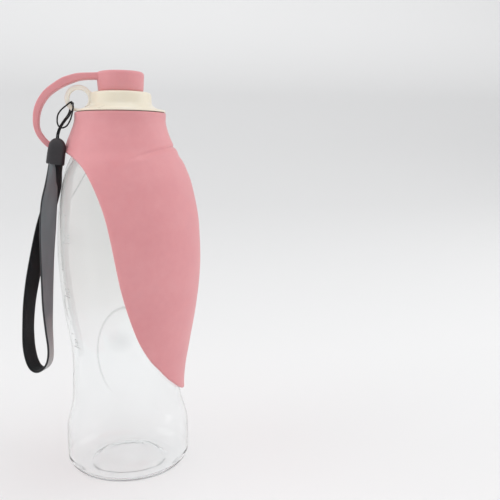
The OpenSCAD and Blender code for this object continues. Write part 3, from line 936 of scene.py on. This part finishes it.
# ============================================================================
# Leaf bowl
# ============================================================================
leaf_out = [
    [25.2, 209.2], [25.4, 208.4], [25.3, 204], [26.1, 200], [27.3, 196.3],
    [28.8, 192.6], [30.2, 189.2], [31.6, 186.4], [33.4, 183.7], [35.2, 181],
    [37.5, 175.8], [39.5, 170.3], [41.2, 163.2], [42.8, 155.2], [43.9, 147.2],
    [44.4, 138.2], [44.7, 129.4], [44.6, 122.2], [44.2, 115], [43.5, 108],
    [42.3, 99], [40.6, 88.5], [38.8, 79.4], [37, 69.6], [35.5, 61.6],
    [34.4, 52.6], [33.9, 42]]
leaf_in = [
    [32.3, 42], [32.6, 52.6], [33.5, 61.6], [34.8, 69.6], [36.5, 79.4],
    [38.3, 88.5], [39.9, 99], [41.1, 108], [41.8, 115], [42.2, 122.2],
    [42.3, 129.4], [42, 138.2], [41.4, 147.2], [40.3, 155.2], [38.7, 163.2],
    [37, 170.3], [35, 175.8], [32.8, 181], [31, 183.7], [29.2, 186.4],
    [27.8, 189.2], [26.2, 192.6], [24.7, 196.3], [22.75, 199.6]]
leaf_edge = [
    [-32.2, 187.6], [-29, 185.6], [-26, 183], [-23.2, 180.2],
    [-20.4, 176.6], [-17.8, 172], [-15.4, 167], [-13.2, 161.5], [-11, 155.5],
    [-9.2, 149], [-7.4, 140], [-5.7, 130.4], [-4.1, 121.4], [-2.2, 111.6],
    [0.4, 101.8], [3.1, 92.8], [6.1, 84], [9.4, 77.2], [13.4, 70]]
tip_edge = [[29.6, 62], [27.6, 59], [25, 56], [21.8, 53], [17.8, 50], [12.8, 47], [8, 45], [4.4, 44]]

_lo = catmull(leaf_out, 8)[::-1]
_li = catmull(leaf_in, 8)


def leaf_ro(z):
    return np.interp(z, _lo[:, 1], _lo[:, 0])


def leaf_ri(z):
    r = np.interp(z, _li[:, 1], _li[:, 0])
    r = np.where(z > 200.5, 21.85, r)
    return np.where(z > 204.3, 22.7, r)


def crease(phi, z):
    """The soft fold line where the bowl turns over; it dips and fades towards the sides."""
    a = np.abs((phi + np.pi) % (2 * np.pi) - np.pi)
    mid = 190.0 - 5.8 * (a / math.radians(77)) ** 2.5
    w = smooth01((math.radians(88) - a) / math.radians(22))
    line = -0.75 * np.exp(-((z - mid) / 0.66) ** 2)
    step = 0.70 * np.exp(-((z - mid + 2.4) / 1.7) ** 2)
    lip = 0.12 * np.exp(-((z - mid - 1.6) / 1.2) ** 2)
    return w * (line + step + lip)


def root_swell(phi, z):
    """The collar is fuller at the back, where the tether grows out of it."""
    a = np.abs((phi + np.pi) % (2 * np.pi) - np.pi)
    side = np.exp(-((np.pi - a) / math.radians(42)) ** 2)
    high = np.interp(z, [170, 176, 180, 184, 187, 190, 194, 198, 202, 206, 209.2],
                     [0.0, 0.05, 0.3, 0.9, 1.45, 1.95, 2.25, 2.1, 1.6, 1.1, 0.8])
    return side * high


def edge_curve(n):
    """The leaf's whole edge as n places [angle, height], evenly spaced and smoothed."""
    pts = [(math.pi, 188.4), (math.radians(170), 188.3)]
    for x, z in leaf_edge:
        r = float(leaf_ro(z))
        pts.append((math.acos(max(-1.0, min(1.0, x / r))), z))
    for w, z in tip_edge:
        pts.append((math.asin(w / float(leaf_ro(z))), z))
    pts.append((0.0, 43.6))
    pts = np.array(pts)
    full = np.r_[pts, (pts * [-1, 1])[::-1][1:-1]]  # all the way round, once
    loop = np.r_[full, full[:1] - [2 * math.pi, 0]]
    r = leaf_ro(loop[:, 1])
    d = np.r_[0, np.cumsum(np.hypot(np.diff(loop[:, 0]) * (r[1:] + r[:-1]) / 2, np.diff(loop[:, 1])))]
    m = 1440
    t = np.linspace(0, d[-1], m + 1)[:-1]
    a, z = np.interp(t, d, loop[:, 0]), np.interp(t, d, loop[:, 1])
    trend = math.pi - 2 * math.pi * t / d[-1]
    sigma = 2.6 / (d[-1] / m)
    k = np.arange(-60, 61)
    g = np.exp(-(k / sigma) ** 2 / 2)
    g /= g.sum()

    def blur(q):
        return np.convolve(np.r_[q[-60:], q, q[:60]], g, "valid")

    a, z = blur(a - trend) + trend, blur(z)
    a, z = np.r_[a, a[0] - 2 * math.pi], np.r_[z, z[0]]
    r = leaf_ro(z)
    d = np.r_[0, np.cumsum(np.hypot(np.diff(a) * (r[1:] + r[:-1]) / 2, np.diff(z)))]
    t = np.linspace(0, d[-1], n + 1)[:-1]
    return np.interp(t, d, a)[::-1], np.interp(t, d, z)[::-1]


def make_leaf():
    n = 320
    phi, z = edge_curve(n)
    r = leaf_ro(z)
    P = np.c_[r * np.cos(phi), r * np.sin(phi), z]
    T = np.roll(P, -1, 0) - np.roll(P, 1, 0)
    T /= np.linalg.norm(T, axis=1)[:, None]
    slope = (leaf_ro(z + 0.5) - leaf_ro(z - 0.5))
    N = np.c_[np.cos(phi), np.sin(phi), -slope]
    N /= np.linalg.norm(N, axis=1)[:, None]
    B = np.cross(T, N)  # in the skin, away from the leaf
    B /= np.linalg.norm(B, axis=1)[:, None]
    h = 1.3
    Q = P - B * h
    pb, zb = np.arctan2(Q[:, 1], Q[:, 0]), Q[:, 2]
    top = 209.2
    rows_o, rows_i = 92, 56

    def heights(zb, rows):
        s = np.linspace(0, 1, rows)[:, None]
        z178 = np.clip((178 - zb) / (top - zb), 0.02, 0.98)[None]
        front = np.where(s < 0.5, s / 0.5 * z178, z178 + (s - 0.5) / 0.5 * (1 - z178))
        w = smooth01((zb - 95) / 50)[None]
        g = (1 - w) * front + w * s
        return zb[None] + (top - zb)[None] * g

    def skin_pts(zz, outer):
        ph = np.repeat(pb[None], zz.shape[0], 0)
        if outer:
            rr = leaf_ro(zz) + crease(ph, zz) + root_swell(ph, zz)
            bead = 0.22 * np.exp(-((zz - zb[None]) * np.maximum(0.12, np.abs(B[:, 2]))[None] / 2.2) ** 2)
            rr = rr + bead * smooth01((195 - zz) / 10)
        else:
            rr = leaf_ri(zz)
        return np.stack([rr * np.cos(ph), rr * np.sin(ph), zz], -1)

    O = skin_pts(heights(zb, rows_o), True)
    I = skin_pts(heights(zb, rows_i), False)
    # the rolled rim, from the inner skin round to the outer
    o, i = O[0], I[0]
    C, D = (o + i) / 2, (o - i) / 2
    hh = np.linalg.norm(D, axis=1)[:, None]
    nn = D / hh
    bb = B - nn * (B * nn).sum(1)[:, None]
    bb /= np.linalg.norm(bb, axis=1)[:, None]
    rim = []
    for s in range(1, 8):
        th = math.pi * (1 - s / 8)
        rim.append(C + hh * (math.cos(th) * nn + math.sin(th) * bb))
    # the top edge, rounded on its outside
    o_top, i_top = O[-1], I[-1]
    O[-1, :, 2] -= 0.25
    mid1 = o_top * [1 - 0.35 / 25, 1 - 0.35 / 25, 1]
    grid = np.concatenate([O, mid1[None], i_top[None] * [1.008, 1.008, 1], I[::-1], np.array(rim)], 0)
    grid[rows_o + 2, :, 2] -= 0.2
    m, cols = grid.shape[:2]
    verts = grid.reshape(-1, 3)
    faces = skin((m, cols), closed_rows=True)
    ob = make("leaf_bowl_silicone", verts, faces, [PINK])
    fix_normals(ob)
    return ob


leaf_ob = make_leaf()
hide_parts("leaf_bowl")
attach(leaf_ob, "cap")


# ============================================================================
# Stopper and its tether
# ============================================================================
def make_stopper():
    path = [(0, 231.5), (4, 231.5), (8.4, 231.55), (9.5, 231.65), (10.3, 231.95), (11.2, 232.0), (12.2, 231.86),
            (12.8, 231.45), (13.2, 230.8), (13.3, 229.8), (13.22, 228.0), (13.05, 225.0), (12.88, 222.6), (12.8, 221.7),
            (12.6, 221.15), (12.2, 220.92), (11.4, 220.9)]
    path = [tuple(p) for p in catmull(path, 4)]
    path[0] = (0, path[0][1])
    path += round_path([(10.9, 220.9), (10.2, 220.9), (9.95, 223.5), (9.5, 226.7), (SPOUT_R - 0.6, 226.7),
                        (SPOUT_R - 0.9, 222.9), (SPOUT_R - 1.3, 222.5), (3, 222.5), (0, 222.5)], 0.4, 4)
    verts, faces = revolve(path, 144)
    ob = make("stopper_silicone", verts, faces, [PINK])
    fix_normals(ob)
    return ob


tether_mid = [
    # from the stopper's wall round to the leaf's back edge: [x, z, thickness, width]
    [-10.8, 229.3, 4.2, 9.4], [-12.8, 229.4, 3.8, 9.0], [-15, 229.4, 3.5, 8.4], [-19.6, 229.2, 3.6, 8.0],
    [-23.6, 228.7, 3.9, 8.0], [-27.2, 227.6, 4.2, 8.0], [-31.5, 225.9, 4.4, 8.0], [-36, 223.2, 4.1, 8.0],
    [-39.4, 220.7, 4.0, 8.0], [-42, 218.1, 3.9, 8.0], [-44, 215.2, 3.8, 8.0], [-45.5, 212.3, 3.7, 8.0],
    [-46.6, 208.9, 3.5, 8.0], [-47.2, 204.8, 3.2, 8.0], [-47.1, 201, 2.9, 8.0], [-46.3, 198, 2.8, 8.0],
    [-44.9, 195.4, 2.9, 8.0], [-42.8, 192.7, 2.9, 8.0], [-40.1, 190.5, 3.3, 8.2], [-36.6, 189.2, 3.6, 8.8],
    [-33, 188.9, 3.8, 10.0], [-30.2, 189, 3.8, 12.5], [-28.4, 189.2, 3.6, 14.0]]


def make_tether():
    p, s = resample(catmull(tether_mid, 10), 0.8, 2)
    path = np.c_[p[:, 0], np.zeros(len(p)), p[:, 1]]
    n = len(path)
    d = np.array([path[min(i + 1, n - 1)] - path[max(i - 1, 0)] for i in range(n)])
    d /= np.linalg.norm(d, axis=1)[:, None]
    v = np.cross([0, 1, 0], d)  # through the band
    # cross-section: a rounded rectangle
    m_c = 5
    rc = 0.75

    def section(w, t):
        hw, ht = w / 2, t / 2
        out = []
        for cx, cy, a0 in ((hw - rc, ht - rc, 0), (-hw + rc, ht - rc, 90), (-hw + rc, -ht + rc, 180), (hw - rc, -ht + rc, 270)):
            for k in range(m_c + 1):
                a = math.radians(a0 + 90 * k / m_c)
                out.append((cx + rc * math.cos(a), cy + rc * math.sin(a)))
        return out

    verts = []
    for i in range(n):
        sec = section(p[i, 3], p[i, 2])
        for a, b in sec:
            verts.append(path[i] + np.array([0, 1, 0]) * a + v[i] * b)
    m = len(verts) // n
    faces = skin((n, m))
    faces = [tuple(range(m - 1, -1, -1))] + faces + [tuple((n - 1) * m + k for k in range(m))]
    ob = make("tether_silicone", verts, faces, [PINK])
    fix_normals(ob)
    return ob


stopper_ob = make_stopper()
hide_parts("stopper")
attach(stopper_ob, "plug")
tether_ob = make_tether()
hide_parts("tether_lower", "tether_upper")
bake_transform(tether_ob)

# ============================================================================
# CAD pieces that show as they are
# ============================================================================
for name, mat in (("neck_thread", CLEAR), ("mouth_seal", SEAL), ("cap_thread", CREAM)):
    me = nodes[name].data
    me.materials.clear()
    me.materials.append(mat)


# ============================================================================
# Floor, backdrop and light
# ============================================================================
def sweep():
    m = Mat("studio_paper")
    n = m.noise(m.obj(), 3.0, 2, 0.5)
    deep = m.split(m.obj())[1]
    # painted light and shade: the paper is given a lighter tone near the object and a darker one in the middle
    # distance, to even out how the lamps fall on it
    tone = m.ramp(m.span(deep, 0.0, 2.4), [(0.08, (0.865, 0.865, 0.865, 1)), (0.22, (0.83, 0.83, 0.83, 1)),
                                           (0.38, (0.785, 0.785, 0.785, 1)), (0.55, (0.79, 0.79, 0.79, 1)), (0.85, (0.83, 0.83, 0.83, 1))])
    m.set(Base_Color=m.mix(m.span(n, 0.3, 0.7, 0.0, 0.02), tone, (0.9, 0.9, 0.9, 1)), Roughness=0.9)
    m.p.inputs["Specular IOR Level"].default_value = 0.15
    prof = [(-3.0, 0.0), (0.2, 0.0)]
    # a long slow rise, so that no line shows where the floor ends
    for k in range(1, 33):
        t = k / 32
        prof.append((0.2 + 2.6 * math.sin(math.pi / 2 * t), 2.2 * (1 - math.cos(math.pi / 2 * t))))
    prof.append((2.8, 5.0))
    xs = (-3.6, 3.6)
    verts = [(x, y, z) for y, z in prof for x in xs]
    faces = [(2 * i, 2 * i + 1, 2 * i + 3, 2 * i + 2) for i in range(len(prof) - 1)]
    me = bpy.data.meshes.new("studio_floor")
    me.from_pydata(verts, [], faces)
    me.polygons.foreach_set("use_smooth", np.full(len(me.polygons), True))
    me.materials.append(m.m)
    ob = bpy.data.objects.new("studio_floor", me)
    scene.collection.objects.link(ob)


def area(name, pos, target, size, power, colour=(1, 1, 1)):
    data = bpy.data.lights.new(name, "AREA")
    data.shape, data.size, data.size_y = "RECTANGLE", size[0], size[1]
    data.energy, data.color = power, colour
    ob = bpy.data.objects.new(name, data)
    ob.location = pos
    ob.rotation_euler = (Vector(target) - Vector(pos)).to_track_quat("-Z", "Y").to_euler()
    scene.collection.objects.link(ob)
    return ob


sweep()
area("softbox_left", (-1.35, -0.15, 0.75), (0, 0, 0.14), (1.2, 1.3), 3.9, (1.0, 0.99, 0.985)).visible_glossy = False
area("softbox_right", (1.1, 0.1, 0.6), (0, 0, 0.14), (0.9, 1.1), 2.4, (1.0, 0.995, 0.99))
area("softbox_top", (0.0, -0.15, 1.25), (0, 0, 0.1), (1.3, 1.3), 2.4)
area("backdrop_light", (0.3, 1.1, 1.1), (0.3, 2.8, 2.3), (2.6, 0.5), 7.0)
world = bpy.data.worlds.new("studio")
world.use_nodes = True
wt = world.node_tree
bg = wt.nodes["Background"]
bg.inputs["Color"].default_value = (0.985, 0.99, 1.0, 1)


def wmath(op, a, b, clamp=False):
    n = wt.nodes.new("ShaderNodeMath")
    n.operation, n.use_clamp = op, clamp
    for i, v in enumerate((a, b)):
        if isinstance(v, bpy.types.NodeSocket):
            wt.links.new(v, n.inputs[i])
        else:
            n.inputs[i].default_value = v
    return n.outputs[0]


# a white tent, brighter at its sides and top than in front
way = wt.nodes.new("ShaderNodeTexCoord")
xyz = wt.nodes.new("ShaderNodeSeparateXYZ")
wt.links.new(way.outputs["Generated"], xyz.inputs[0])
glow = wmath("ADD", wmath("MULTIPLY", wmath("POWER", xyz.outputs[0], 2.0), 0.46), wmath("MULTIPLY", wmath("MULTIPLY", xyz.outputs[2], 1.0, True), 0.22))
wt.links.new(wmath("ADD", glow, 0.585), bg.inputs["Strength"])
scene.world = world
scene.view_settings.view_transform = "Standard"
scene.view_settings.look = "None"
scene.cycles.max_bounces = 16
scene.cycles.transmission_bounces = 14
scene.cycles.transparent_max_bounces = 24
